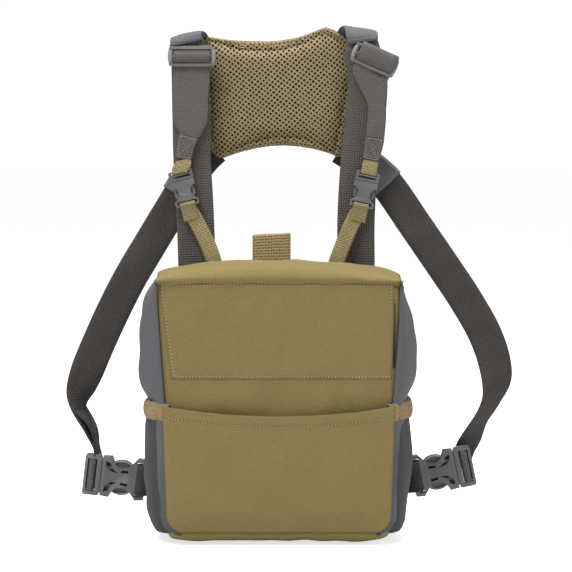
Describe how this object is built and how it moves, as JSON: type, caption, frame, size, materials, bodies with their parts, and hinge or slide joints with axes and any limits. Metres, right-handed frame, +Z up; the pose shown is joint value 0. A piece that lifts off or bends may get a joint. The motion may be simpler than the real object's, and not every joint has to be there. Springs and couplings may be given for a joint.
{
  "type": "binocular harness pack",
  "caption": "Padded chest pouch for a binocular with a front-hinged magnetic lid, hung from a webbing harness with side-release buckles and a mesh back pad.",
  "frame": {"origin": "centre of the pouch's base, on the surface it stands on", "axes": "+Z up the pouch, +Y towards the wearer, +X to the right seen from the front"},
  "size_m": [0.3593, 0.1361, 0.3961],
  "materials": {
    "tan_fabric": "matte woven polyester",
    "tan_webbing": "matte ribbed webbing",
    "tan_mesh": "open spacer mesh",
    "grey_fabric": "smooth stretch knit",
    "grey_webbing": "ribbed webbing",
    "dark_webbing": "fine flat webbing",
    "foam": "closed-cell foam",
    "stiffener": "sheet",
    "buckle_plastic": "satin moulded",
    "magnet": "nickel plated"
  },
  "bodies": {
    "pack": {"front_panel": "tan_fabric", "front_foam": "foam", "back_panel": "tan_fabric", "back_foam": "foam", "base_panel": "tan_fabric", "base_foam": "foam", "left_gusset": "grey_fabric", "right_gusset": "grey_fabric", "left_side_pocket": "grey_fabric", "right_side_pocket": "grey_fabric", "left_pocket_binding": "tan_webbing", "right_pocket_binding": "tan_webbing", "front_pocket": "tan_fabric", "upper_front_pocket": "tan_fabric", "comfort_pad": "tan_mesh", "rim_magnet": "magnet", "pad_mesh": "tan_mesh", "pad_foam": "foam", "pad_cover": "grey_fabric", "left_shoulder_strap": "grey_webbing", "left_top_wing": "grey_fabric", "left_elastic_strap": "grey_webbing", "left_tether_loop": "tan_webbing", "left_tether_male": "buckle_plastic", "left_side_strap": "dark_webbing", "left_strap_patch": "grey_fabric", "left_buckle_female": "buckle_plastic", "left_buckle_tab": "dark_webbing", "right_shoulder_strap": "grey_webbing", "right_top_wing": "grey_fabric", "right_elastic_strap": "grey_webbing", "right_tether_loop": "tan_webbing", "right_tether_male": "buckle_plastic", "right_side_strap": "dark_webbing", "right_strap_patch": "grey_fabric", "right_buckle_female": "buckle_plastic", "right_buckle_tab": "dark_webbing"},
    "lid": {"lid_top": "tan_fabric", "lid_stiffener": "stiffener", "lid_rear_lip": "tan_fabric", "lid_magnet": "magnet", "lid_left_wing": "grey_fabric", "lid_right_wing": "grey_fabric", "pull_tab": "tan_webbing"},
    "left_slider": {"left_slider": "buckle_plastic"},
    "left_buckle_male": {"left_buckle_male": "buckle_plastic"},
    "left_upper_prong": {"left_buckle_prong_upper": "buckle_plastic"},
    "left_lower_prong": {"left_buckle_prong_lower": "buckle_plastic"},
    "left_tether": {"left_tether_female": "buckle_plastic", "left_tether_webbing": "tan_webbing"},
    "left_tether_left_prong": {"left_tether_prong_left": "buckle_plastic"},
    "left_tether_right_prong": {"left_tether_prong_right": "buckle_plastic"},
    "right_slider": {"right_slider": "buckle_plastic"},
    "right_buckle_male": {"right_buckle_male": "buckle_plastic"},
    "right_upper_prong": {"right_buckle_prong_upper": "buckle_plastic"},
    "right_lower_prong": {"right_buckle_prong_lower": "buckle_plastic"},
    "right_tether": {"right_tether_female": "buckle_plastic", "right_tether_webbing": "tan_webbing"},
    "right_tether_left_prong": {"right_tether_prong_left": "buckle_plastic"},
    "right_tether_right_prong": {"right_tether_prong_right": "buckle_plastic"}
  },
  "joints": [
    {"name": "lid_open", "type": "hinge", "parent": "pack", "child": "lid", "pos_m": [0, -0.045, 0.197], "axis": [1, 0, 0], "range_deg": [0, 140]},
    {"name": "left_slider_slide", "type": "slide", "parent": "pack", "child": "left_slider", "axis": [0, 0, -1], "range_m": [0, 0.012], "deforming": ["left_elastic_strap"]},
    {"name": "left_buckle_release", "type": "slide", "parent": "pack", "child": "left_buckle_male", "axis": [-0.9932, 0, 0.1167], "range_m": [0, 0.028], "deforming": ["left_side_strap"]},
    {"name": "left_upper_prong_squeeze", "type": "hinge", "parent": "left_buckle_male", "child": "left_upper_prong", "pos_m": [-0.14053, 0.048, 0.04157], "axis": [0, 1, 0], "range_deg": [0, 8]},
    {"name": "left_lower_prong_squeeze", "type": "hinge", "parent": "left_buckle_male", "child": "left_lower_prong", "pos_m": [-0.1421, 0.048, 0.02827], "axis": [0, -1, 0], "range_deg": [0, 8]},
    {"name": "left_tether_release", "type": "slide", "parent": "pack", "child": "left_tether", "axis": [0.2351, 0, -0.972], "range_m": [0, 0.016]},
    {"name": "left_tether_right_prong_squeeze", "type": "hinge", "parent": "pack", "child": "left_tether_right_prong", "pos_m": [-0.0734, 0.042, 0.27256], "axis": [0, 1, 0], "range_deg": [0, 8]},
    {"name": "left_tether_left_prong_squeeze", "type": "hinge", "parent": "pack", "child": "left_tether_left_prong", "pos_m": [-0.08095, 0.042, 0.27073], "axis": [0, -1, 0], "range_deg": [0, 8]},
    {"name": "right_slider_slide", "type": "slide", "parent": "pack", "child": "right_slider", "axis": [-0.4067, 0, -0.9135], "range_m": [0, 0.012], "deforming": ["right_elastic_strap"]},
    {"name": "right_buckle_release", "type": "slide", "parent": "pack", "child": "right_buckle_male", "axis": [0.9781, 0, 0.2079], "range_m": [0, 0.028], "deforming": ["right_side_strap"]},
    {"name": "right_upper_prong_squeeze", "type": "hinge", "parent": "right_buckle_male", "child": "right_upper_prong", "pos_m": [0.13886, 0.048, 0.04725], "axis": [0, -1, 0], "range_deg": [0, 8]},
    {"name": "right_lower_prong_squeeze", "type": "hinge", "parent": "right_buckle_male", "child": "right_lower_prong", "pos_m": [0.14165, 0.048, 0.03415], "axis": [0, 1, 0], "range_deg": [0, 8]},
    {"name": "right_tether_release", "type": "slide", "parent": "pack", "child": "right_tether", "axis": [-0.2164, 0, -0.9763], "range_m": [0, 0.016]},
    {"name": "right_tether_right_prong_squeeze", "type": "hinge", "parent": "pack", "child": "right_tether_right_prong", "pos_m": [0.07329, 0.042, 0.2698], "axis": [0, 1, 0], "range_deg": [0, 8]},
    {"name": "right_tether_left_prong_squeeze", "type": "hinge", "parent": "pack", "child": "right_tether_left_prong", "pos_m": [0.0657, 0.042, 0.27148], "axis": [0, -1, 0], "range_deg": [0, 8]}
  ]
}
